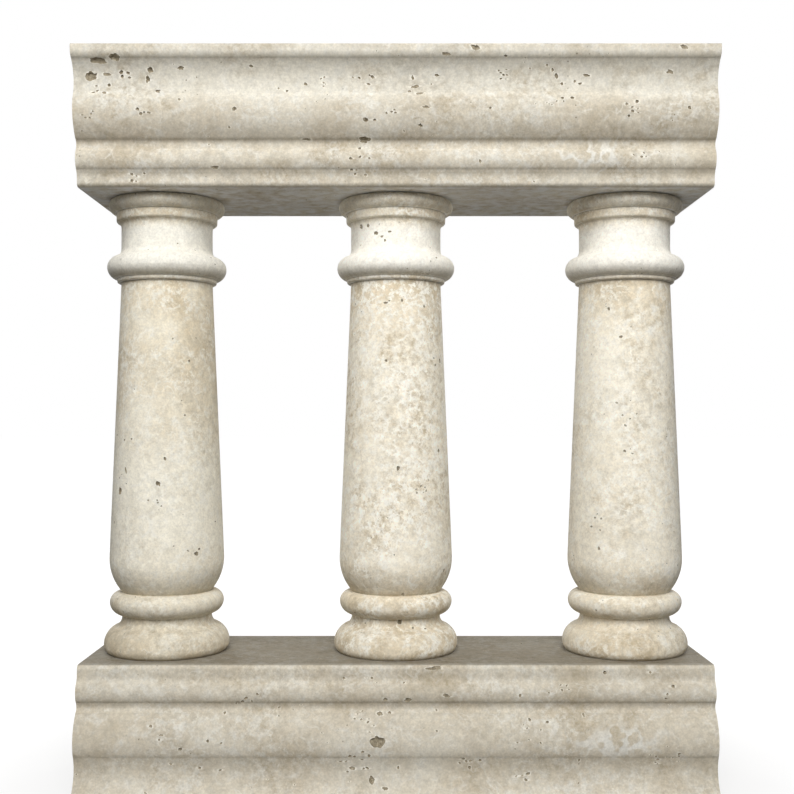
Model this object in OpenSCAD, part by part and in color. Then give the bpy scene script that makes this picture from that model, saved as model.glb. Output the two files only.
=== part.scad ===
// Stone balustrade section: a moulded top rail and an identical base rail turned upside down,
// with three turned balusters between them, each pinned at its foot and head by a steel dowel.
// Millimetres, +Z up, +X along the rails. The origin is the centre of the base rail's underside.

/* [Layout] */
// Length of both rails
rail_length = 800; // [640:10:1200]
// Axis of an outer baluster from the end of the rail
end_margin = 93; // [90:1:140]
// Height of a baluster between the two rails
baluster_h = 600; // [500:5:760]

/* [Rail moulding, each member from the one before it] */
// Width of the soffit and of the plain band next to it
soffit_w = 200; // [180:1:260]
// Height of the plain band
band_h = 12; // [9:0.5:24]
// Rounding of the soffit's edge
soffit_round = 6; // [2:0.5:8]
// Height of the cavetto
cavetto_h = 10; // [7:0.5:18]
// Step out over the cavetto
cavetto_out = 3.7; // [2:0.1:6]
// Square step out from the cavetto to the ovolo
ovolo_step = 0.5; // [0.4:0.1:2]
// Height of the ovolo up to its widest line
ovolo_out_h = 12; // [8:0.5:16]
// Rounded step out over the ovolo up to its widest line
ovolo_out = 4; // [2:0.1:6]
// Height of the ovolo past its widest line
ovolo_in_h = 11; // [7:0.5:16]
// Rounded step in over the ovolo past its widest line
ovolo_in = 3; // [2:0.1:5]
// Square step in from the ovolo to the quirk
quirk_step = 0.5; // [0.4:0.1:2]
// Height of the quirk, the narrow groove over the ovolo, down to its deepest line
quirk_in_h = 7; // [5:0.5:10]
// Rounded step in over the quirk down to its deepest line
quirk_in = 2.5; // [1.5:0.1:4]
// Height of the quirk past its deepest line
quirk_out_h = 6; // [5:0.5:9]
// Rounded step out over the quirk past its deepest line
quirk_out = 3; // [1.5:0.1:4]
// Square step out from the quirk to the cushion
cushion_step = 0.5; // [0.4:0.1:2]
// Height of the cushion up to its widest line
cushion_out_h = 37; // [26:0.5:48]
// Rounded step out over the cushion up to its widest line
cushion_out = 14.7; // [10:0.1:20]
// Height of the cushion past its widest line
cushion_in_h = 15.5; // [10:0.5:22]
// Rounded step in over the cushion past its widest line
cushion_in = 3.2; // [2:0.1:6]
// Square step in from the cushion to the hollow
hollow_step = 0.5; // [0.4:0.1:2]
// Height of the hollow down to its deepest line
hollow_in_h = 16; // [10:0.5:22]
// Rounded step in over the hollow down to its deepest line
hollow_in = 3.1; // [2:0.1:6]
// Height of the hollow past its deepest line
hollow_out_h = 27; // [20:0.5:34]
// Rounded step out over the hollow past its deepest line
hollow_out = 11.3; // [8:0.1:16]
// Square step out from the hollow to the nosing
nosing_step = 0.5; // [0.4:0.1:2]
// Height of the nosing, the square edge along the rail's face
nosing_h = 16.5; // [15:0.5:30]
// Height of the nosing's rounded edge over the hollow
nosing_round_h = 9.5; // [6:0.5:10]
// Rounded step out over the nosing's edge
nosing_round_out = 4.9; // [2:0.1:5.9]
// Rounding of the nosing's outer edge
arris_round = 2.5; // [1:0.1:4]

/* [Baluster foot] */
// Diameter of the foot torus
foot_d = 165.4; // [158:0.2:174]
// Height of the foot torus below its widest line
foot_lower_h = 11; // [8:0.5:14]
// Step in of the foot torus where it stands on the rail
foot_seat_in = 5.5; // [2:0.1:7]
// Height of the foot torus above its widest line
foot_upper_h = 22.5; // [16:0.5:30]
// Step in of the foot torus at its upper end
foot_in = 12.7; // [8:0.1:15]
// Square step in from the foot torus to the scotia
scotia_step = 0.5; // [0.4:0.1:2]
// Height of the curved part of the scotia
scotia_h = 13.5; // [12:0.5:18]
// Diameter at the bottom of the scotia
scotia_d = 118; // [108:1:122]
// Height of the plain part of the scotia
scotia_plain_h = 3.5; // [2:0.5:9]
// Diameter of the ring over the scotia
ring_d = 150; // [142:1:160]
// Height of the ring below its widest line
ring_lower_h = 16; // [14:0.5:22]
// Height of the ring above its widest line
ring_upper_h = 13.5; // [13:0.5:20]
// Step in of the ring at both its ends
ring_in = 12.5; // [10:0.1:13]

/* [Baluster shaft] */
// Diameter of the shaft at its widest line
shaft_low_d = 151; // [140:1:160]
// Diameter of the shaft at its top
shaft_top_d = 120; // [110:1:128]
// Height of the shaft's rounded lower end
shaft_round_h = 44; // [32:0.5:60]
// Step in of the shaft where it meets the ring
shaft_round_in = 16.5; // [10:0.1:20]

/* [Baluster head] */
// Diameter of the collar, the fillet on top of the shaft
collar_d = 131; // [129:1:138]
// Height of the collar
collar_h = 5; // [3:0.5:10]
// Diameter of the astragal
astragal_d = 157; // [148:1:162]
// Height of the astragal below its widest line
astragal_lower_h = 15.5; // [13:0.5:22]
// Step in of the astragal at its lower end
astragal_lower_in = 12; // [9:0.1:12.5]
// Height of the astragal above its widest line
astragal_upper_h = 15; // [13.5:0.5:22]
// Step in of the astragal at its upper end
astragal_upper_in = 13; // [10:0.1:13.5]
// Height of the flare between the astragal and the neck
flare_h = 10; // [5:0.5:14]
// Step out of the flare where it meets the astragal
flare_out = 4.7; // [3:0.1:5]
// Diameter of the neck
neck_d = 120; // [118:1:126]
// Height of the plain part of the neck
neck_h = 28; // [20:0.5:60]
// Height of the cove under the head's fillet
cove_h = 6.5; // [4:0.5:10]
// Step out of the cove
cove_out = 3.2; // [1:0.1:4]
// Diameter of the head's fillet
head_fillet_d = 132.8; // [130:0.2:140]
// Height of the head's fillet
head_fillet_h = 12; // [5:0.5:16]
// Diameter of the head torus
head_d = 152.6; // [146:0.2:162]
// Height of the head torus below its widest line
head_lower_h = 10; // [9:0.5:16]
// Step in of the head torus at its lower end
head_lower_in = 8.3; // [5:0.1:9]
// Height of the head torus above its widest line
head_upper_h = 8; // [5:0.5:10]
// Step in of the head torus where it meets the soffit
head_seat_in = 3.8; // [2:0.1:5]

/* [Dowels] */
// Diameter of a dowel
dowel_d = 16; // [10:1:30]
// Depth of a dowel in each of the two stones that it joins
dowel_depth = 60; // [30:5:90]
// Clearance around a dowel in its hole
dowel_fit = 0.3; // [0.1:0.05:0.8]
// Room over a dowel at the closed end of the upper hole
dowel_end_gap = 2; // [0.5:0.5:5]

/* [Hidden] */

// How far each half of the rail's outline reaches past the middle, so that the two halves overlap
half_overlap = 20;
// How far a cutting shape reaches past the face that it cuts
cut_margin = 1;
stone_color = "#d8cfbd";
steel_color = "#b7bbbf";
$fn = 96;

// Levels of the widest and the deepest line of the rail's members from its soffit
ovolo_z = band_h + cavetto_h + ovolo_out_h;
quirk_z = ovolo_z + ovolo_in_h + quirk_in_h;
cushion_z = quirk_z + quirk_out_h + cushion_out_h;
hollow_z = cushion_z + cushion_in_h + hollow_in_h;
nosing_z = hollow_z + hollow_out_h;
rail_h = nosing_z + nosing_h;

// Half widths of the rail at those lines
band_w = soffit_w / 2;
ovolo_w = band_w + cavetto_out + ovolo_step + ovolo_out;
quirk_w = ovolo_w - ovolo_in - quirk_step - quirk_in;
cushion_w = quirk_w + quirk_out + cushion_step + cushion_out;
hollow_w = cushion_w - cushion_in - hollow_step - hollow_in;
nosing_w = hollow_w + hollow_out + nosing_step + nosing_round_out;

// Levels of the baluster's members above its foot
scotia_z = foot_lower_h + foot_upper_h + scotia_h;
ring_z = scotia_z + scotia_plain_h + ring_lower_h;
shaft_z = ring_z + ring_upper_h + shaft_round_h;
head_z = baluster_h - head_upper_h;
head_fillet_z = head_z - head_lower_h - head_fillet_h;
neck_top_z = head_fillet_z - cove_h;
neck_z = neck_top_z - neck_h;
astragal_z = neck_z - flare_h - astragal_upper_h;
collar_z = astragal_z - astragal_lower_h - collar_h;

// Heights of the joints between the stones above the ground, and the step between balusters
foot_joint_z = rail_h;
head_joint_z = rail_h + baluster_h;
baluster_step = rail_length / 2 - end_margin;

// Radius of an arc that stands upright at one end and moves aside by dw over a height of dz,
// to a hundredth of a millimetre
function upright_radius(dw, dz) = round(100 * (dw * dw + dz * dz) / (2 * dw)) / 100;

// A plain stretch of outline from z up to z + h, between -inner and w
module plain(w, z, h, inner = 0) {
    translate([-inner, z])
        square([w + inner, h]);
}

// The same between z and z + dz, where dz may point down
module stretch(w, z, dz, inner) {
    plain(w, min(z, z + dz), abs(dz), inner);
}

// A convex stretch: upright at width w and height z, and narrower by dw at z + dz
module roll(w, z, dw, dz, inner = 0) {
    radius = upright_radius(dw, dz);
    if (w + inner > radius)
        stretch(w - radius, z, dz, inner);
    intersection() {
        stretch(w, z, dz, inner);
        translate([w - radius, z])
            circle(radius);
    }
}

// A concave stretch: upright at width w and height z, and wider by dw at z + dz
module hollow(w, z, dw, dz, inner = 0) {
    radius = upright_radius(dw, dz);
    difference() {
        stretch(w + radius, z, dz, inner);
        translate([w + radius, z])
            circle(radius);
    }
}

// One side of the rail's outline, with the soffit at height 0
module rail_half_outline(inner) {
    roll(band_w, soffit_round, soffit_round, -soffit_round, inner);
    plain(band_w, soffit_round, band_h - soffit_round, inner);
    hollow(band_w, band_h, cavetto_out, cavetto_h, inner);
    roll(ovolo_w, ovolo_z, ovolo_out, -ovolo_out_h, inner);
    roll(ovolo_w, ovolo_z, ovolo_in, ovolo_in_h, inner);
    hollow(quirk_w, quirk_z, quirk_in, -quirk_in_h, inner);
    hollow(quirk_w, quirk_z, quirk_out, quirk_out_h, inner);
    roll(cushion_w, cushion_z, cushion_out, -cushion_out_h, inner);
    roll(cushion_w, cushion_z, cushion_in, cushion_in_h, inner);
    hollow(hollow_w, hollow_z, hollow_in, -hollow_in_h, inner);
    hollow(hollow_w, hollow_z, hollow_out, hollow_out_h, inner);
    roll(nosing_w, nosing_z + nosing_round_h, nosing_round_out, -nosing_round_h, inner);
    plain(nosing_w, nosing_z + nosing_round_h, nosing_h - nosing_round_h - arris_round, inner);
    roll(nosing_w, rail_h - arris_round, arris_round, arris_round, inner);
}

// The whole rail without its dowel holes, soffit at height 0
module rail_stone() {
    rotate([90, 0, 90])
        linear_extrude(rail_length, center = true)
            for (side = [0, 1])
                mirror([side, 0])
                    rail_half_outline(half_overlap);
}

// Half of the baluster's outline, from its axis outwards
module baluster_outline() {
    foot_r = foot_d / 2;
    scotia_r = scotia_d / 2;
    scotia_out = foot_r - foot_in - scotia_step - scotia_r;
    ring_r = ring_d / 2;
    astragal_r = astragal_d / 2;
    neck_r = neck_d / 2;
    head_r = head_d / 2;
    roll(foot_r, foot_lower_h, foot_seat_in, -foot_lower_h);
    roll(foot_r, foot_lower_h, foot_in, foot_upper_h);
    hollow(scotia_r, scotia_z, scotia_out, -scotia_h);
    plain(scotia_r, scotia_z, scotia_plain_h);
    roll(ring_r, ring_z, ring_in, -ring_lower_h);
    roll(ring_r, ring_z, ring_in, ring_upper_h);
    roll(shaft_low_d / 2, shaft_z, shaft_round_in, -shaft_round_h);
    polygon([
        [0, shaft_z],
        [shaft_low_d / 2, shaft_z],
        [shaft_top_d / 2, collar_z],
        [0, collar_z]
    ]);
    plain(collar_d / 2, collar_z, collar_h);
    roll(astragal_r, astragal_z, astragal_lower_in, -astragal_lower_h);
    roll(astragal_r, astragal_z, astragal_upper_in, astragal_upper_h);
    hollow(neck_r, neck_z, flare_out, -flare_h);
    plain(neck_r, neck_z, neck_h);
    hollow(neck_r, neck_top_z, cove_out, cove_h);
    plain(head_fillet_d / 2, head_fillet_z, head_fillet_h);
    roll(head_r, head_z, head_lower_in, -head_lower_h);
    roll(head_r, head_z, head_seat_in, head_upper_h);
}

// A dowel hole from height z up to z + h
module dowel_hole(z, h) {
    translate([0, 0, z])
        cylinder(d = dowel_d + 2 * dowel_fit, h = h);
}

module at_each_baluster() {
    for (place = [-1, 0, 1])
        translate([place * baluster_step, 0, 0])
            children();
}

module base_rail() {
    color(stone_color)
        difference() {
            translate([0, 0, rail_h])
                mirror([0, 0, 1])
                    rail_stone();
            at_each_baluster()
                dowel_hole(foot_joint_z - dowel_depth, dowel_depth + cut_margin);
        }
}

module top_rail() {
    color(stone_color)
        difference() {
            translate([0, 0, head_joint_z])
                rail_stone();
            at_each_baluster()
                dowel_hole(head_joint_z - cut_margin, cut_margin + dowel_depth + dowel_end_gap);
        }
}

module baluster(place) {
    color(stone_color)
        translate([place * baluster_step, 0, foot_joint_z])
            difference() {
                rotate_extrude()
                    baluster_outline();
                dowel_hole(-cut_margin, cut_margin + dowel_depth + dowel_end_gap);
                dowel_hole(baluster_h - dowel_depth, dowel_depth + cut_margin);
            }
}

// A dowel stands on the floor of the lower hole and reaches equally far into both stones
module dowel(place, joint_z) {
    color(steel_color)
        translate([place * baluster_step, 0, joint_z - dowel_depth])
            cylinder(d = dowel_d, h = 2 * dowel_depth);
}

base_rail();
top_rail();
baluster(-1);  // baluster_left
baluster(0);  // baluster_middle
baluster(1);  // baluster_right
dowel(-1, foot_joint_z);  // foot_dowel_left
dowel(0, foot_joint_z);  // foot_dowel_middle
dowel(1, foot_joint_z);  // foot_dowel_right
dowel(-1, head_joint_z);  // head_dowel_left
dowel(0, head_joint_z);  // head_dowel_middle
dowel(1, head_joint_z);  // head_dowel_right
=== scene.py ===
"""A travertine balustrade section: two moulded rails and three turned balusters on steel dowels."""
import math
import random

import bmesh
import bpy
from mathutils import Matrix, Vector, noise
from mathutils.bvhtree import BVHTree


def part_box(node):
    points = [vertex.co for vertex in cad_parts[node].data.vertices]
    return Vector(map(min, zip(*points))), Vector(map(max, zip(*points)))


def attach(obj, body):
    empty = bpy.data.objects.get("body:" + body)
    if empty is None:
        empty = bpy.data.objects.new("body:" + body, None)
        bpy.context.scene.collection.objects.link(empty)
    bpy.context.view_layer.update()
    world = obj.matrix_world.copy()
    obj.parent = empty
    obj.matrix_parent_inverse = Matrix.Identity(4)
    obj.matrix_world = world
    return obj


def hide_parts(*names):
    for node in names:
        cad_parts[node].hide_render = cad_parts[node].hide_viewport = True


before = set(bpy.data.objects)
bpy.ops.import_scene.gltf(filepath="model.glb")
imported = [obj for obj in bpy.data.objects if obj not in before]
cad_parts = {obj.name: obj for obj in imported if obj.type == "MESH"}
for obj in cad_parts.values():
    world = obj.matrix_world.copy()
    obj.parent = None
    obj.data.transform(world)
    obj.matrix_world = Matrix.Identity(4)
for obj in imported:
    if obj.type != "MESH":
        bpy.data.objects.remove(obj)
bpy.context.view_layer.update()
scene = bpy.context.scene
scene.view_settings.view_transform = "Standard"
rng = random.Random(41)
MM = 0.001
WELD = 0.004 * MM
FOOT_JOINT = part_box("base_rail")[1].z
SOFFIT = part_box("top_rail")[0].z


def linear(code):
    """An sRGB hex colour as the linear colour that a shader takes."""
    channels = [int(code[i:i + 2], 16) / 255 for i in (1, 3, 5)]
    return [c / 12.92 if c <= 0.04045 else ((c + 0.055) / 1.055) ** 2.4 for c in channels] + [1.0]


def spread(size_mm):
    """The scale at which a texture's features are about this many millimetres across."""
    return 1000.0 / size_mm


def node(tree, kind, links, stops=None, **settings):
    """Adds a shader node: its settings, its ramp's stops, and what each socket is linked to or holds."""
    made = tree.nodes.new("ShaderNode" + kind)
    for name, value in settings.items():
        setattr(made, name, value)
    if stops:
        ramp = made.color_ramp.elements
        while len(ramp) < len(stops):
            ramp.new(1.0)
        for stop, (place, code) in zip(ramp, stops):
            stop.position = place
            stop.color = linear(code)
    for socket, source in links.items():
        if isinstance(source, bpy.types.NodeSocket):
            tree.links.new(source, made.inputs[socket])
        else:
            made.inputs[socket].default_value = source
    return made


def new_material(name):
    """An empty material with its output node."""
    material = bpy.data.materials.new(name)
    material.use_nodes = True
    tree = material.node_tree
    tree.nodes.clear()
    return material, tree, tree.nodes.new("ShaderNodeOutputMaterial")


# Camera, level and square to the front; its shifts are pixels of the photo's width

camera = bpy.data.objects.new("camera", bpy.data.cameras.new("camera"))
scene.collection.objects.link(camera)
scene.camera = camera
camera.data.lens = 50.0
camera.data.sensor_width = 36.0
camera.data.shift_x = 1.2 / 794
camera.data.shift_y = 29.0 / 794
camera.location = (0.0, -1.4826, 0.470)
camera.rotation_euler = (math.radians(90), 0.0, 0.0)


# Looks of the stone

WHITE = "#FFFFFF"


def honed_travertine(name, place, tone, chalk, ochre, pale_bands, vein=None, top_grime_and_shade=0.0):
    """Cream travertine, cut and honed: cloudy cream with chalk-white flecks, tan stain and fine pores.

    The honed face is matt with a faint sheen, with painted shade in its creases and its arrises rubbed
    paler. place picks a part of the block and tone its shade. chalk and ochre say how far the white flecks
    and the tan stain
    show. pale_bands are pale level bands: foot, head, blur and share of each; most are paler layers in the
    stone, but the one over the top rail's hollow is painted light. vein is where a knot of chalk comes to
    the face of a rail, and top_grime_and_shade is how far a rail's level top is darkened: grime, and on the
    base rail painted shade too. The turned stones have neither, but a near-white band at their necks, which
    is a painted highlight, and they darken towards the foot.
    """
    turned = vein is None
    material, tree, out = new_material(name)
    coords = node(tree, "TexCoord", {})
    block = node(tree, "Mapping", {"Vector": coords.outputs["Object"], "Location": place,
                                   "Rotation": (0.0, math.radians(24), math.radians(15))})
    swirl = node(tree, "TexNoise", {"Vector": block.outputs[0], "Scale": spread(80), "Detail": 3.0})
    warp = 35 * MM
    bend = node(tree, "VectorMath", {0: swirl.outputs["Color"], 1: (warp, warp, warp)},
                operation="MULTIPLY")
    flow = node(tree, "VectorMath", {0: block.outputs[0], 1: bend.outputs[0]}, operation="ADD")

    # Broad clouds of the bedding, from tan to pale cream.
    clouds = node(tree, "TexNoise", {"Vector": flow.outputs[0], "Scale": spread(85), "Detail": 7.0,
                                     "Roughness": 0.62})
    shades = ("#D5C9B2", "#E9DFCC", "#F3EBDA", "#F9F4E7")
    if turned:
        shades = ("#C8B89A", "#E5D8C0", "#F6EDDA", "#FFFAEC")
    body = node(tree, "ValToRGB", {"Fac": clouds.outputs[0]},
                stops=list(zip((0.30, 0.43, 0.56, 0.70), shades))).outputs[0]

    # Pale level bands, whose edges wander by a few millimetres. Most are paler layers in the stone; the one
    # over the top rail's hollow and the one at the necks are painted light.
    height = node(tree, "SeparateXYZ", {0: coords.outputs["Object"]})
    wander = node(tree, "MapRange", {"Value": swirl.outputs[0], "To Min": -12 * MM, "To Max": 12 * MM})
    lie = node(tree, "Math", {0: height.outputs["Z"], 1: wander.outputs[0]})

    def pale_bed_and_painted_light(stone, foot, head, blur, share, colour):
        """Lays a level pale band over the stone's colour so far; at the top rail's hollow and at the necks
        the band is painted light.
        """
        into_bed = node(tree, "MapRange", {"Value": lie.outputs[0], "From Min": foot - blur,
                                           "From Max": foot + blur, "To Max": share})
        out_of_bed = node(tree, "MapRange", {"Value": lie.outputs[0], "From Min": head + blur,
                                             "From Max": head - blur})
        in_bed = node(tree, "Math", {0: into_bed.outputs[0], 1: out_of_bed.outputs[0]},
                      operation="MULTIPLY")
        return node(tree, "Mix", {"Factor": in_bed.outputs[0], "A": stone, "B": linear(colour)},
                    data_type="RGBA").outputs[2]

    for pale_band in pale_bands:
        body = pale_bed_and_painted_light(body, *pale_band, "#FFFBEF")

    # What shows in patches, and is crumbly inside a patch: grey veils, tan iron stain, haze, chalk flecks.
    for patch, crumb, edge, colour, share in ((90, 24, 0.06, "#C6BEAD", 0.5),
                                              (75, 9, 0.09, "#B39F7B", ochre),
                                              (70, 30, 0.08, "#FFFCF2", 0.45 * chalk if turned else 0.2),
                                              (60, 10, 0.04, "#FFFDF5", chalk)):
        area = node(tree, "TexNoise", {"Vector": flow.outputs[0], "W": crumb, "Scale": spread(patch),
                                       "Detail": 3.0}, noise_dimensions="4D")
        area_mask = node(tree, "MapRange", {"Value": area.outputs[0], "From Min": 0.52 - 0.16 * share,
                                            "From Max": 0.70 - 0.16 * share})
        crumbs = node(tree, "TexNoise", {"Vector": block.outputs[0], "W": patch, "Scale": spread(crumb),
                                         "Detail": 9.0, "Roughness": 0.75}, noise_dimensions="4D")
        crumb_mask = node(tree, "MapRange", {"Value": crumbs.outputs[0], "From Min": 0.53 - edge,
                                             "From Max": 0.53 + edge, "To Max": share})
        shows = node(tree, "Math", {0: area_mask.outputs[0], 1: crumb_mask.outputs[0]},
                     operation="MULTIPLY")
        body = node(tree, "Mix", {"Factor": shows.outputs[0], "A": body, "B": linear(colour)},
                    data_type="RGBA").outputs[2]

    # Chalk wisps a millimetre or two wide, broken into short strokes, fine and then bold. The bold ones
    # are thick in the knot of chalk.
    wisps = []
    for stroke, broken in ((11, 22), (24, 16)):
        strokes = node(tree, "TexNoise", {"Vector": flow.outputs[0], "Scale": spread(stroke),
                                          "Detail": 2.0})
        off_line = node(tree, "Math", {0: strokes.outputs[0], 1: 0.5}, operation="SUBTRACT")
        from_line = node(tree, "Math", {0: off_line.outputs[0]}, operation="ABSOLUTE")
        line = node(tree, "MapRange", {"Value": from_line.outputs[0], "From Max": 0.06,
                                       "To Min": chalk, "To Max": 0.0})
        breaks = node(tree, "TexNoise", {"Vector": block.outputs[0], "Scale": spread(broken),
                                         "Detail": 3.0})
        unbroken = node(tree, "MapRange", {"Value": breaks.outputs[0], "From Min": 0.48,
                                           "From Max": 0.66})
        wisps.append(node(tree, "Math", {0: line.outputs[0], 1: unbroken.outputs[0]},
                          operation="MULTIPLY"))
    if vein:
        bent = node(tree, "VectorMath", {0: coords.outputs["Object"], 1: bend.outputs[0]}, operation="ADD")
        apart = node(tree, "VectorMath", {0: bent.outputs[0], 1: [v + warp / 2 for v in vein]},
                     operation="SUBTRACT")
        flat = node(tree, "VectorMath", {0: apart.outputs[0], 1: (0.6, 0.6, 1.3)}, operation="MULTIPLY")
        away = node(tree, "VectorMath", {0: flat.outputs[0]}, operation="LENGTH")
        near_knot = node(tree, "MapRange", {"Value": away.outputs["Value"], "From Min": 0.014,
                                            "From Max": 0.036, "To Min": 0.8, "To Max": 0.0})
        band = node(tree, "MapRange", {"Value": from_line.outputs[0], "From Min": 0.03, "From Max": 0.08,
                                       "To Min": 1.0, "To Max": 0.0})
        wisps.append(node(tree, "Math", {0: near_knot.outputs[0], 1: band.outputs[0]},
                          operation="MULTIPLY"))
    for wisp in wisps:
        body = node(tree, "Mix", {"Factor": wisp.outputs[0], "A": body, "B": linear("#FFFDF6")},
                    data_type="RGBA").outputs[2]

    # A near-white band round the necks: a painted highlight for the glare that the necks catch.
    if turned:
        body = pale_bed_and_painted_light(body, FOOT_JOINT + 494 * MM, FOOT_JOINT + 563 * MM, 8 * MM, 0.85, "#FFFEF9")
    body = node(tree, "Mix", {"Factor": 1.0, "A": body, "B": linear(tone)}, data_type="RGBA",
                blend_type="MULTIPLY").outputs[2]

    # Crystals of a few millimetres and a finer speckle, which break up the clouds.
    grain = node(tree, "TexNoise", {"Vector": coords.outputs["Object"], "Scale": spread(7), "Detail": 6.0,
                                    "Roughness": 0.7})
    speckle = node(tree, "TexNoise", {"Vector": coords.outputs["Object"], "Scale": spread(2.4),
                                      "Detail": 2.0})
    for spots, contrast in ((grain, 0.13), (speckle, 0.08)):
        tone_of_spot = node(tree, "MapRange", {"Value": spots.outputs[0], "From Min": 0.3,
                                               "From Max": 0.7, "To Min": 1 - contrast,
                                               "To Max": 1 + contrast})
        body = node(tree, "Mix", {"Factor": 1.0, "A": body, "B": tone_of_spot.outputs[0]},
                    data_type="RGBA", blend_type="MULTIPLY").outputs[2]

    # Pores of about a millimetre, in loose colonies.
    pores = node(tree, "TexVoronoi", {"Vector": flow.outputs[0], "Scale": spread(11)})
    pore_spot = node(tree, "MapRange", {"Value": pores.outputs["Distance"], "From Min": 0.05,
                                        "From Max": 0.12, "To Min": 1.0, "To Max": 0.0})
    colony = node(tree, "TexNoise", {"Vector": block.outputs[0], "Scale": spread(70), "Detail": 3.0})
    colony_mask = node(tree, "MapRange", {"Value": colony.outputs[0], "From Min": 0.56,
                                          "From Max": 0.64})
    pore_mask = node(tree, "Math", {0: pore_spot.outputs[0], 1: colony_mask.outputs[0]},
                     operation="MULTIPLY")
    body = node(tree, "Mix", {"Factor": pore_mask.outputs[0], "A": body, "B": linear("#857963")},
                data_type="RGBA").outputs[2]

    # Painted highlight: a pale ring round the rims of the pits.
    rim = node(tree, "Attribute", {}, attribute_name="rim")
    painted_rim_highlight = node(tree, "MapRange", {"Value": rim.outputs["Fac"], "From Min": 0.2, "To Max": 0.6})
    body = node(tree, "Mix", {"Factor": painted_rim_highlight.outputs[0], "A": body, "B": linear("#FBF7EC")},
                data_type="RGBA").outputs[2]

    # Painted shade in the creases, on faces turned downward and as a contact line at the baluster feet; the
    # balusters darken towards the foot; level tops take grime.
    crease = node(tree, "Attribute", {}, attribute_name="crease")
    facing = node(tree, "NewGeometry", {})
    upward = node(tree, "SeparateXYZ", {0: facing.outputs["Normal"]})
    # Painted shade in the creases, full where a crease faces sideways or down, less where it faces up.
    crease_shade = node(tree, "MapRange", {"Value": crease.outputs["Fac"], "From Min": 0.05, "From Max": 1.3,
                                   "To Max": 0.31 if turned else 0.46})
    less_where_facing_up = node(tree, "MapRange", {"Value": upward.outputs["Z"], "From Min": 0.45, "To Min": 0.45,
                                       "From Max": 0.0})
    painted_crease_shade = node(tree, "Math", {0: crease_shade.outputs[0], 1: less_where_facing_up.outputs[0]}, operation="MULTIPLY")
    # Painted shade on faces turned downward, leaving out the flat soffit.
    facing_down = node(tree, "MapRange", {"Value": upward.outputs["Z"], "From Min": -0.10, "From Max": -0.60,
                                    "To Max": 0.34 if turned else 0.15})
    not_flat = node(tree, "MapRange", {"Value": upward.outputs["Z"], "From Min": -0.97, "From Max": -0.85})
    painted_underside_shade = node(tree, "Math", {0: facing_down.outputs[0], 1: not_flat.outputs[0]}, operation="MULTIPLY")
    # The balusters are darker towards the foot.
    darker_towards_foot = node(tree, "MapRange", {"Value": height.outputs["Z"], "From Min": FOOT_JOINT + 45 * MM,
                                     "From Max": FOOT_JOINT + 95 * MM,
                                     "To Min": 0.20 if turned else 0.0, "To Max": 0.0})
    # Level tops take grime; on the base rail's top it is painted shade as well, for the shade beneath the
    # top rail and between the balusters.
    level = node(tree, "MapRange", {"Value": upward.outputs["Z"], "From Min": 0.85, "From Max": 0.99,
                                    "To Max": top_grime_and_shade})
    # A painted contact shadow, a dark line where the baluster feet sit on the base rail.
    joint = node(tree, "MapRange", {"Value": height.outputs["Z"], "From Min": FOOT_JOINT + 0.8 * MM,
                                    "From Max": FOOT_JOINT + 4 * MM,
                                    "To Min": 0.6 if turned else 0.0, "To Max": 0.0})
    for darkening, colour in ((painted_crease_shade, "#A29B8F"), (painted_underside_shade, "#A29B8F"), (darker_towards_foot, "#A29B8F"),
                         (joint, "#A29B8F"), (level, "#9E9B95")):
        body = node(tree, "Mix", {"Factor": darkening.outputs[0], "A": body, "B": linear(colour)},
                    data_type="RGBA", blend_type="MULTIPLY").outputs[2]

    # Arrises rubbed pale, and painted light on the soffit, cool and pale, mottled as the bold wisps are
    # broken.
    rubbed = node(tree, "MapRange", {"Value": crease.outputs["Fac"], "From Min": -2.0, "From Max": -0.2,
                                     "To Min": 0.2, "To Max": 0.0})
    soffit = node(tree, "MapRange", {"Value": upward.outputs["Z"], "From Min": -0.90, "From Max": -0.99})
    mottle = node(tree, "MapRange", {"Value": breaks.outputs[0], "From Min": 0.30, "From Max": 0.65,
                                     "To Min": 0.0, "To Max": 0.70})
    painted_soffit_light = node(tree, "Math", {0: soffit.outputs[0], 1: mottle.outputs[0]}, operation="MULTIPLY")
    for lightening, colour in ((rubbed, "#FBF7EC"), (painted_soffit_light, "#F4F5F8")):
        body = node(tree, "Mix", {"Factor": lightening.outputs[0], "A": body, "B": linear(colour)},
                    data_type="RGBA").outputs[2]

    # The hone leaves the crystals a little proud of the pores.
    relief = node(tree, "Math", {0: grain.outputs[0], 1: pore_mask.outputs[0]}, operation="SUBTRACT")
    bump = node(tree, "Bump", {"Height": relief.outputs[0], "Strength": 0.35, "Distance": 0.6 * MM})
    sheen = node(tree, "MapRange", {"Value": clouds.outputs[0], "To Min": 0.74, "To Max": 0.88})
    shader = node(tree, "BsdfPrincipled", {"Base Color": body, "Roughness": sheen.outputs[0],
                                           "Normal": bump.outputs[0], "IOR": 1.5,
                                           "Specular IOR Level": 0.12})
    tree.links.new(shader.outputs[0], out.inputs["Surface"])
    return material


def pit_wall():
    """The inside of a travertine pit: unhoned, sandy and brown with grime, and darker still as painted shade
    within the hollow.
    """
    material, tree, out = new_material("travertine_pit_wall")
    coords = node(tree, "TexCoord", {})
    sand = node(tree, "TexNoise", {"Vector": coords.outputs["Object"], "Scale": spread(4), "Detail": 6.0,
                                   "Roughness": 0.7})
    tone = node(tree, "ValToRGB", {"Fac": sand.outputs[0]},
                stops=[(0.35, "#7F7560"), (0.52, "#A0957E"), (0.68, "#C4B9A3")])
    bump = node(tree, "Bump", {"Height": sand.outputs[0], "Strength": 0.8, "Distance": 1.0 * MM})
    shader = node(tree, "BsdfPrincipled", {"Base Color": tone.outputs[0], "Roughness": 0.9,
                                           "Normal": bump.outputs[0], "IOR": 1.5})
    tree.links.new(shader.outputs[0], out.inputs["Surface"])
    return material


PIT_WALL = pit_wall()


# Shapes of the stones

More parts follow.
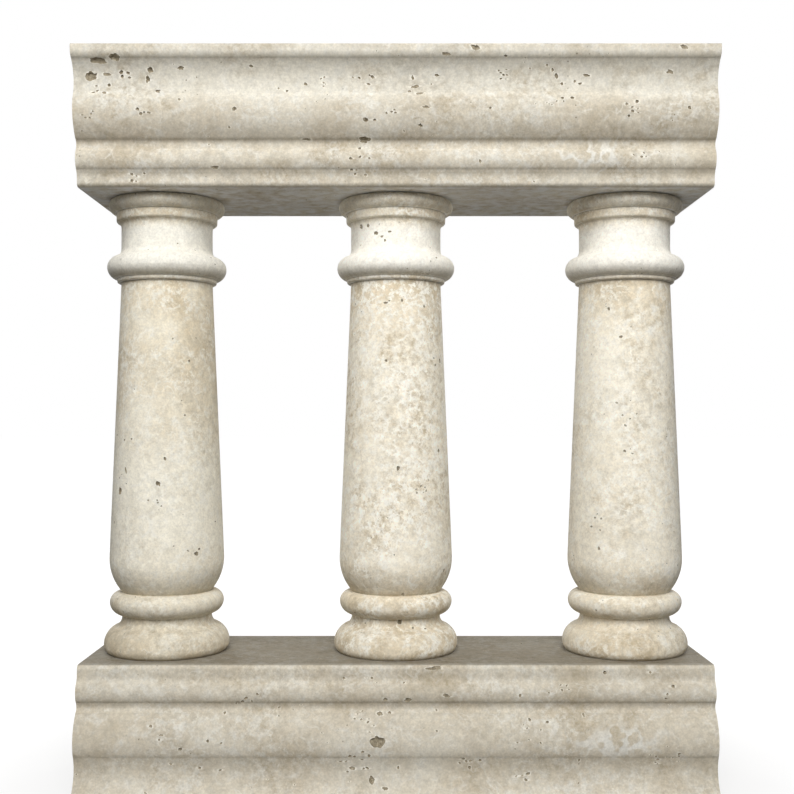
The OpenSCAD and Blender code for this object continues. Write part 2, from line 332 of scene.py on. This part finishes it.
def merged_copy(name):
    """A bmesh of a CAD solid with its loose triangles joined."""
    bm = bmesh.new()
    bm.from_mesh(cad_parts[name].data)
    bmesh.ops.remove_doubles(bm, verts=bm.verts, dist=WELD)
    return bm


def cut_away(bm, point, direction, inner, outer):
    """Cuts a mesh with a plane and clears the sides that are named."""
    bmesh.ops.bisect_plane(bm, geom=bm.verts[:] + bm.edges[:] + bm.faces[:], plane_co=point,
                           plane_no=direction, clear_inner=inner, clear_outer=outer)


def soften(bm, points, rounds):
    """Rounds a section off by drawing each point towards its neighbours."""
    for _ in range(rounds):
        bmesh.ops.smooth_vert(bm, verts=points, factor=0.5, use_axis_x=True, use_axis_y=True,
                              use_axis_z=True)


def worked_section(bm, centre, sides, start):
    """Spaces the section's points, notes its creases, and rubs its arrises round.

    The mouldings lie further than start from the centre, on the sides given. A far stronger rounding would
    push a crease out and an arris in, so how far it would move a point is the note.
    """
    note_rounds = 40
    rub_rounds = 4

    def reach(place):
        return max((place - centre).dot(side) for side in sides)

    for side in sides:
        cut_away(bm, centre + side * (start - 6 * MM), side, False, False)
    for edge in bm.edges[:]:
        inner = min(reach(vert.co) for vert in edge.verts) < start - 7 * MM
        cuts = int(edge.calc_length() / ((8 if inner else 1.6) * MM))
        if cuts:
            bmesh.ops.subdivide_edges(bm, edges=[edge], cuts=cuts)
    crease = bm.verts.layers.float.new("crease")
    points = [vert for vert in bm.verts if reach(vert.co) > start]
    kept = [vert.co.copy() for vert in points]
    soften(bm, points, note_rounds)
    for vert, place in zip(points, kept):
        outward = max(sides, key=(place - centre).dot)
        vert[crease] = (vert.co - place).dot(outward) / MM
        vert.co = place
    soften(bm, points, rub_rounds)


def close_up(bm):
    """Welds a drawn-out section, and puts its faces in the same order each run."""
    bmesh.ops.remove_doubles(bm, verts=bm.verts, dist=WELD)
    bm.verts.index_update()
    count = len(bm.verts)

    def rank(face):
        first, second, third = sorted(vert.index for vert in face.verts)[:3]
        return (first * count + second) * count + third

    bm.faces.sort(key=rank)
    bmesh.ops.recalc_face_normals(bm, faces=bm.faces)


def rail_mesh(name):
    """The rail's moulded section, drawn out along its length between two end faces cut into small cells."""
    low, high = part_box(name)
    front_and_back = (Vector((0.0, -1.0, 0.0)), Vector((0.0, 1.0, 0.0)))
    between_holes = Vector((0.15, 0.0, 0.0))
    bm = merged_copy(name)
    cut_away(bm, between_holes, (1.0, 0.0, 0.0), True, True)
    worked_section(bm, between_holes, front_and_back, 85 * MM)
    bmesh.ops.edgeloop_fill(bm, edges=bm.edges)
    cell = 10 * MM
    for step in range(1, int((high.z - low.z) / cell)):
        cut_away(bm, (0.0, 0.0, low.z + step * cell + 3 * MM), (0.0, 0.0, 1.0), False, False)
    for step in range(-12, 13):
        cut_away(bm, (0.0, step * cell + 4 * MM, 0.0), (0.0, 1.0, 0.0), False, False)
    crease = bm.verts.layers.float["crease"]
    for vert in bm.verts:
        if not vert.is_boundary:
            vert[crease] = 0.0
    bmesh.ops.translate(bm, verts=bm.verts, vec=(low.x - between_holes.x, 0.0, 0.0))
    outline = [edge for edge in bm.edges if edge.is_boundary]
    rim = [vert for vert in bm.verts if vert.is_boundary]
    length = high.x - low.x
    far_end = bmesh.ops.duplicate(bm, geom=bm.verts[:] + bm.edges[:] + bm.faces[:])["geom"]
    bmesh.ops.translate(bm, verts=[item for item in far_end if isinstance(item, bmesh.types.BMVert)],
                        vec=(length, 0.0, 0.0))
    steps = 118
    bmesh.ops.spin(bm, geom=rim + outline, axis=(1.0, 0.0, 0.0), angle=0.0, steps=steps,
                   dvec=(length / steps, 0.0, 0.0))
    close_up(bm)
    return bm


def baluster_mesh(name):
    """The baluster's profile, turned about its own axis."""
    low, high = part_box(name)
    axis_x = round((low.x + high.x) / 2, 3)
    bm = merged_copy(name)
    cut_away(bm, (axis_x, 0.0, 0.0), (0.0, 1.0, 0.0), True, True)
    cut_away(bm, (axis_x, 0.0, 0.0), (1.0, 0.0, 0.0), True, False)
    worked_section(bm, Vector((axis_x, 0.0, 0.0)), (Vector((1.0, 0.0, 0.0)),), 45 * MM)
    bmesh.ops.spin(bm, geom=bm.verts[:] + bm.edges[:], cent=(axis_x, 0.0, 0.0), axis=(0.0, 0.0, 1.0),
                   angle=math.tau, steps=112, use_merge=True)
    close_up(bm)
    return bm


def add_pit(cutter, taken, place, normal, along, length, width):
    """Adds one ragged hollow to the cutter, lying along the surface, unless it would run into another."""
    if any((place - other).length < (length + size) * 0.5 for other, size in taken):
        return
    taken.append((place, max(length, width)))
    across = normal.cross(along).normalized()
    turn = Matrix((across.cross(normal), across, normal)).transposed().to_4x4()
    depth = min(length, width) * rng.uniform(0.35, 0.5) * (0.6 if length > 7 * MM else 1.0)
    size = Matrix.Diagonal((length / 2, width / 2, depth, 1.0))
    blob = bmesh.ops.create_icosphere(cutter, subdivisions=3 if length > 5 * MM else 2, radius=1.0)["verts"]
    shift = Vector((rng.random(), rng.random(), rng.random())) * 50
    for vert in blob:
        vert.co *= 1.0 + 0.5 * noise.noise(vert.co * 1.3 + shift) + 0.3 * noise.noise(vert.co * 3.1 + shift)
    bmesh.ops.transform(cutter, verts=blob, matrix=Matrix.Translation(place) @ turn @ size)


def front_pits(surface, cutter, taken, pits, colonies):
    """Pits in the front face, in mm: x, z, length and height of each, then colonies of small ones.

    A colony is x, z, its reach along x and z, how many, and the longest. A ragged pit opens smaller than
    its blob, so blobs are made a little larger.
    """
    larger = 1.1 * MM
    aims = [(x, z, length, height, 0.25) for x, z, length, height in pits]
    for x, z, reach_x, reach_z, count, longest in colonies:
        for _ in range(count):
            length = longest * rng.uniform(0.6, 1.2)
            aims.append((x + rng.uniform(-reach_x, reach_x), z + rng.uniform(-reach_z, reach_z), length,
                         length * rng.uniform(0.5, 0.9), 0.9))
    for x, z, length, height, swing in aims:
        place, normal, _, _ = surface.ray_cast(Vector((x, -400.0, z)) * MM, Vector((0.0, 1.0, 0.0)))
        if place:
            lean = rng.uniform(-swing, swing)
            along = Vector((math.cos(lean), 0.0, math.sin(lean)))
            add_pit(cutter, taken, place, normal, along, larger * length, larger * height)


def scattered_pits(bm, cutter, taken, count, longest):
    """Loose pits over the whole stone, most of them small."""
    shortest = 1.8
    faces = bm.faces[:]
    for face in rng.choices(faces, [f.calc_area() for f in faces], k=count):
        length = (shortest + (longest - shortest) * rng.random() ** 3) * MM
        along = Vector((rng.uniform(-1, 1), rng.uniform(-1, 1), rng.uniform(-0.6, 0.6)))
        if along.cross(face.normal).length > 0.1:
            add_pit(cutter, taken, face.calc_center_median(), face.normal, along, length,
                    length * rng.uniform(0.5, 0.9))


def sharp_rims(mesh):
    """Shades a stone smooth, apart from its arrises and the rims of its pits, and notes those rims."""
    bm = bmesh.new()
    bm.from_mesh(mesh)
    rim = bm.verts.layers.float.new("rim")
    for face in bm.faces:
        face.smooth = True
    for edge in bm.edges:
        at_rim = len({face.material_index for face in edge.link_faces}) > 1
        edge.smooth = not at_rim and edge.calc_face_angle(0.0) < math.radians(32)
        if at_rim:
            edge.verts[0][rim] = 1.0
            edge.verts[1][rim] = 1.0
    bm.to_mesh(mesh)
    bm.free()


HOLE_RADIUS = 8.3 * MM
HOLE_DEPTH = 62 * MM


def cut_stone(name, bm, finish, pits, colonies, scatter, bores=()):
    """Makes a stone of its mesh, with its pits and dowel holes cut, in place of its CAD solid."""
    surface = BVHTree.FromBMesh(bm)
    cutter = bmesh.new()
    taken = []
    front_pits(surface, cutter, taken, pits, colonies)
    scattered_pits(bm, cutter, taken, *scatter)
    for x, bottom, top in bores:
        bmesh.ops.create_cone(cutter, cap_ends=True, segments=40, radius1=HOLE_RADIUS, radius2=HOLE_RADIUS,
                              depth=top - bottom, matrix=Matrix.Translation((x, 0.0, (bottom + top) / 2)))
    bmesh.ops.recalc_face_normals(cutter, faces=cutter.faces)

    made = []
    for label, mesh_bm, material in ((name + "_stone", bm, finish), (name + "_cutter", cutter, PIT_WALL)):
        mesh = bpy.data.meshes.new(label)
        mesh_bm.to_mesh(mesh)
        mesh_bm.free()
        mesh.materials.append(material)
        made.append(bpy.data.objects.new(label, mesh))
        scene.collection.objects.link(made[-1])
    stone, tool = made
    cut = stone.modifiers.new("pits", "BOOLEAN")
    cut.object = tool
    cut.operation = "DIFFERENCE"
    cut.solver = "MANIFOLD"
    cut.material_mode = "TRANSFER"
    done = bpy.data.meshes.new_from_object(stone.evaluated_get(bpy.context.evaluated_depsgraph_get()))
    stone.modifiers.clear()
    stone.data = done
    bpy.data.objects.remove(tool)
    sharp_rims(done)
    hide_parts(name)
    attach(stone, "root")


def bores_in(rail):
    """The rail's three dowel holes: where each stands, and its lower and upper end past the joint."""
    overrun = 5 * MM
    places = []
    for side in ("left", "middle", "right"):
        low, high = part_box(("foot_dowel_" if rail == "base_rail" else "head_dowel_") + side)
        x = (low.x + high.x) / 2
        joint = (low.z + high.z) / 2
        if rail == "base_rail":
            places.append((x, joint - HOLE_DEPTH, joint + overrun))
        else:
            places.append((x, joint - overrun, joint + HOLE_DEPTH))
    return places


# The five stones

HEAD = (FOOT_JOINT + 582 * MM, FOOT_JOINT + 630 * MM, 4 * MM, 0.55)
SHAFT = (FOOT_JOINT + 100 * MM, FOOT_JOINT + 430 * MM, 40 * MM, 0.68)
LOW_SHAFT = (FOOT_JOINT + 80 * MM, FOOT_JOINT + 310 * MM, 80 * MM, 0.95)
# The pale band over the top rail's hollow is painted light, which lifts the shade beneath the nosing.
PAINTED_LIGHT_IN_HOLLOW = (SOFFIT + 108 * MM, SOFFIT + 160 * MM, 12 * MM, 0.90)

top_stone = honed_travertine("honed_travertine_top", (0.0, 0.0, 0.0), "#E1E0DD", 0.65, 0.60, [PAINTED_LIGHT_IN_HOLLOW],
                             (0.240, -0.105, 0.813), 0.25)
base_stone = honed_travertine("honed_travertine_base", (3.1, 1.7, 0.4), "#DFDEDB", 0.60, 0.50, [],
                              (0.277, -0.120, 0.076), 0.82)
left_stone = honed_travertine("honed_travertine_left", (5.3, 2.2, 1.0), "#F4F2EC", 0.80, 0.42,
                              [HEAD, LOW_SHAFT])
middle_stone = honed_travertine("honed_travertine_middle", (7.9, 0.6, 2.3), "#FFFDF8", 1.0, 0.75,
                                [HEAD, SHAFT])
right_stone = honed_travertine("honed_travertine_right", (9.4, 4.1, 0.2), "#FDFBF6", 0.85, 0.55,
                               [HEAD, SHAFT])

cut_stone("top_rail", rail_mesh("top_rail"), top_stone,
          [(-367, 921, 20, 8), (-346, 924, 12, 9), (-378, 904, 14, 9), (-358, 906, 8, 4), (-304, 911, 6, 7),
           (-308, 900, 5, 8), (-311, 894, 5, 5), (-266, 913, 7, 4), (-295, 885, 5, 5), (-179, 915, 5, 3),
           (-37, 849, 5, 5), (-26, 849, 4, 3), (-39, 828, 13, 9), (-111, 828, 9, 4), (-226, 793, 8, 4),
           (62, 927, 10, 4), (98, 934, 10, 6), (135, 925, 4, 3), (51, 905, 5, 3), (21, 902, 3, 5),
           (24, 891, 10, 4), (17, 885, 4, 3), (29, 882, 9, 3), (37, 864, 8, 3), (117, 863, 3, 3),
           (187, 916, 3, 3), (194, 911, 3, 4), (199, 904, 4, 7), (206, 895, 3, 4), (237, 905, 8, 3),
           (222, 898, 3, 3), (229, 895, 5, 2.5), (218, 876, 4, 4), (298, 871, 4, 4), (363, 863, 4, 4),
           (340, 909, 8, 4), (354, 935, 8, 5)],
          [(-335, 907, 8, 5, 6, 5), (-314, 860, 9, 3, 6, 4), (-381, 855, 9, 5, 6, 4), (-8, 859, 8, 4, 6, 3),
           (-45, 800, 12, 18, 8, 4), (-325, 782, 15, 6, 5, 4), (-140, 888, 8, 3, 5, 3),
           (-95, 898, 12, 8, 6, 3), (-42, 897, 14, 8, 8, 4), (134, 905, 8, 8, 8, 3), (195, 872, 14, 6, 6, 3),
           (292, 861, 8, 8, 8, 4), (304, 808, 9, 3, 7, 3), (-368, 888, 14, 8, 7, 4)],
          (150, 6), bores_in("top_rail"))
cut_stone("base_rail", rail_mesh("base_rail"), base_stone,
          [(48, 166, 18, 5), (63, 134, 8, 4), (-13, 129, 5, 4), (15, 128, 8, 6), (-20, 111, 7, 6),
           (-8, 112, 4, 4), (-23, 79, 15, 15), (-41, 67, 4, 3), (-33, 62, 4, 4), (-54, 45, 7, 4),
           (-30, 31, 6, 9), (-13, 22, 6, 4), (155, 134, 3, 4), (188, 102, 4, 3), (262, 161, 4, 4),
           (319, 161, 3, 3), (346, 145, 4, 4), (-65, 154, 4, 3), (-30, 154, 3, 3), (3, 46, 3, 3)],
          [(-40, 100, 14, 16, 8, 3), (339, 131, 6, 5, 7, 4), (92, 52, 14, 6, 6, 4), (156, 36, 12, 10, 6, 4),
           (-50, 50, 20, 12, 8, 4), (200, 145, 16, 8, 6, 3), (335, 58, 18, 8, 10, 3),
           (-250, 70, 60, 30, 10, 4), (-180, 120, 40, 20, 6, 4), (170, 90, 20, 12, 6, 3)],
          (150, 6), bores_in("base_rail"))
cut_stone("baluster_left", baluster_mesh("baluster_left"), left_stone,
          [(-304, 396, 5, 6), (-358, 386, 6, 9), (-349, 412, 3, 10), (-296, 428, 3, 5), (-258, 305, 6, 5),
           (-352, 452, 3, 3), (-341, 453, 3, 3), (-366, 458, 3, 3)],
          [(-354, 402, 6, 18, 7, 3), (-262, 306, 8, 6, 4, 3), (-304, 368, 5, 8, 5, 3)], (60, 4))
cut_stone("baluster_middle", baluster_mesh("baluster_middle"), middle_stone,
          [(5, 219, 6, 10), (22, 209, 3, 3), (58, 556, 4, 5), (56, 438, 4, 4), (63, 281, 4, 4),
           (9, 253, 4, 5), (3, 416, 4, 5), (-13, 629, 5, 3), (8, 632, 3, 4), (-45, 731, 5, 6),
           (-36, 731, 4, 4), (-26, 720, 5, 4), (-18, 715, 4, 3), (-14, 710, 3, 3), (-8, 721, 4, 3)],
          [(55, 500, 8, 60, 4, 3), (32, 388, 7, 5, 5, 3), (-8, 632, 8, 2, 2, 3)], (60, 4))
cut_stone("baluster_right", baluster_mesh("baluster_right"), right_stone,
          [(276, 622, 3, 5), (290, 585, 4, 3), (262, 312, 3, 5)],
          [(300, 450, 30, 60, 6, 3), (262, 340, 10, 20, 5, 3)], (60, 4))


# Dowels

def brushed_stainless():
    """Drawn stainless bar: a grey metal with fine lines along its length."""
    material, tree, out = new_material("brushed_stainless_steel")
    coords = node(tree, "TexCoord", {})
    draw = node(tree, "Mapping", {"Vector": coords.outputs["Object"], "Scale": (1.0, 1.0, 0.02)})
    lines = node(tree, "TexNoise", {"Vector": draw.outputs[0], "Scale": spread(0.8), "Detail": 3.0})
    rough = node(tree, "MapRange", {"Value": lines.outputs[0], "To Min": 0.25, "To Max": 0.45})
    bump = node(tree, "Bump", {"Height": lines.outputs[0], "Strength": 0.2, "Distance": 0.1 * MM})
    tone = node(tree, "ValToRGB", {"Fac": lines.outputs[0]}, stops=[(0.3, "#B4B3AF"), (0.7, "#CBCAC6")])
    shader = node(tree, "BsdfPrincipled", {"Base Color": tone.outputs[0], "Metallic": 1.0,
                                           "Roughness": rough.outputs[0], "Normal": bump.outputs[0]})
    tree.links.new(shader.outputs[0], out.inputs["Surface"])
    return material


steel = brushed_stainless()
for name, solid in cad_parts.items():
    if "dowel" in name:
        solid.material_slots[0].material = steel


# Floor, backdrop and light

def looked_at(tree):
    """1 for what is seen straight, mirrored or through glass, and 0 for what only lights other things."""
    path = node(tree, "LightPath", {})
    straight = node(tree, "Math", {0: path.outputs["Is Camera Ray"], 1: path.outputs["Is Glossy Ray"]},
                    operation="MAXIMUM")
    return node(tree, "Math", {0: straight.outputs[0], 1: path.outputs["Is Transmission Ray"]},
                operation="MAXIMUM").outputs[0]


def studio_floor():
    """White studio paper: it looks white to the eye, keeps the shadow, and bounces a grey light."""
    material, tree, out = new_material("studio_paper")
    coords = node(tree, "TexCoord", {})
    reach = node(tree, "VectorMath", {0: coords.outputs["Object"]}, operation="LENGTH")
    glow_level = node(tree, "MapRange", {"Value": reach.outputs["Value"], "From Min": 0.3, "From Max": 0.7,
                                         "To Min": 0.72, "To Max": 1.0})
    paper = node(tree, "BsdfDiffuse", {"Color": linear("#6E6D6B")})
    glow = node(tree, "Emission", {"Color": linear(WHITE), "Strength": glow_level.outputs[0]})
    seen = node(tree, "AddShader", {0: paper.outputs[0], 1: glow.outputs[0]})
    choice = node(tree, "MixShader", {0: looked_at(tree), 1: paper.outputs[0], 2: seen.outputs[0]})
    tree.links.new(choice.outputs[0], out.inputs["Surface"])
    return material


floor_bm = bmesh.new()
bmesh.ops.create_grid(floor_bm, x_segments=1, y_segments=1, size=40.0)
floor_mesh = bpy.data.meshes.new("studio_floor")
floor_bm.to_mesh(floor_mesh)
floor_bm.free()
floor_mesh.materials.append(studio_floor())
floor = bpy.data.objects.new("studio_floor", floor_mesh)
scene.collection.objects.link(floor)

world = bpy.data.worlds.new("studio")
scene.world = world
world.use_nodes = True
sky = world.node_tree
sky.nodes.clear()
sky_out = sky.nodes.new("ShaderNodeOutputWorld")
room = node(sky, "Background", {"Color": linear("#DDE2EC"), "Strength": 0.07})
backdrop = node(sky, "Background", {"Color": linear(WHITE), "Strength": 1.0})
sky_choice = node(sky, "MixShader", {0: looked_at(sky), 1: room.outputs[0], 2: backdrop.outputs[0]})
sky.links.new(sky_choice.outputs[0], sky_out.inputs["Surface"])


def soft_box(name, place, aim, size, watts):
    """A square soft light that faces the object."""
    lamp = bpy.data.lights.new(name, "AREA")
    lamp.shape = "SQUARE"
    lamp.size = size
    lamp.energy = watts
    stand = bpy.data.objects.new(name, lamp)
    scene.collection.objects.link(stand)
    stand.location = place
    stand.visible_camera = False
    stand.rotation_euler = (Vector(aim) - Vector(place)).to_track_quat("-Z", "Y").to_euler()


soft_box("key", (0.0, -2.5, 2.15), (0.0, 0.0, 0.55), 1.9, 95.0)
soft_box("side_left", (-2.1, -1.7, 1.2), (0.0, 0.0, 0.50), 1.0, 4.5)
soft_box("side_right", (2.1, -1.7, 1.2), (0.0, 0.0, 0.50), 1.0, 3.5)
soft_box("back_left", (-1.45, 2.55, 1.0), (0.0, 0.0, 0.50), 1.1, 24.0)
soft_box("back_right", (1.45, 2.55, 1.0), (0.0, 0.0, 0.50), 1.1, 24.0)
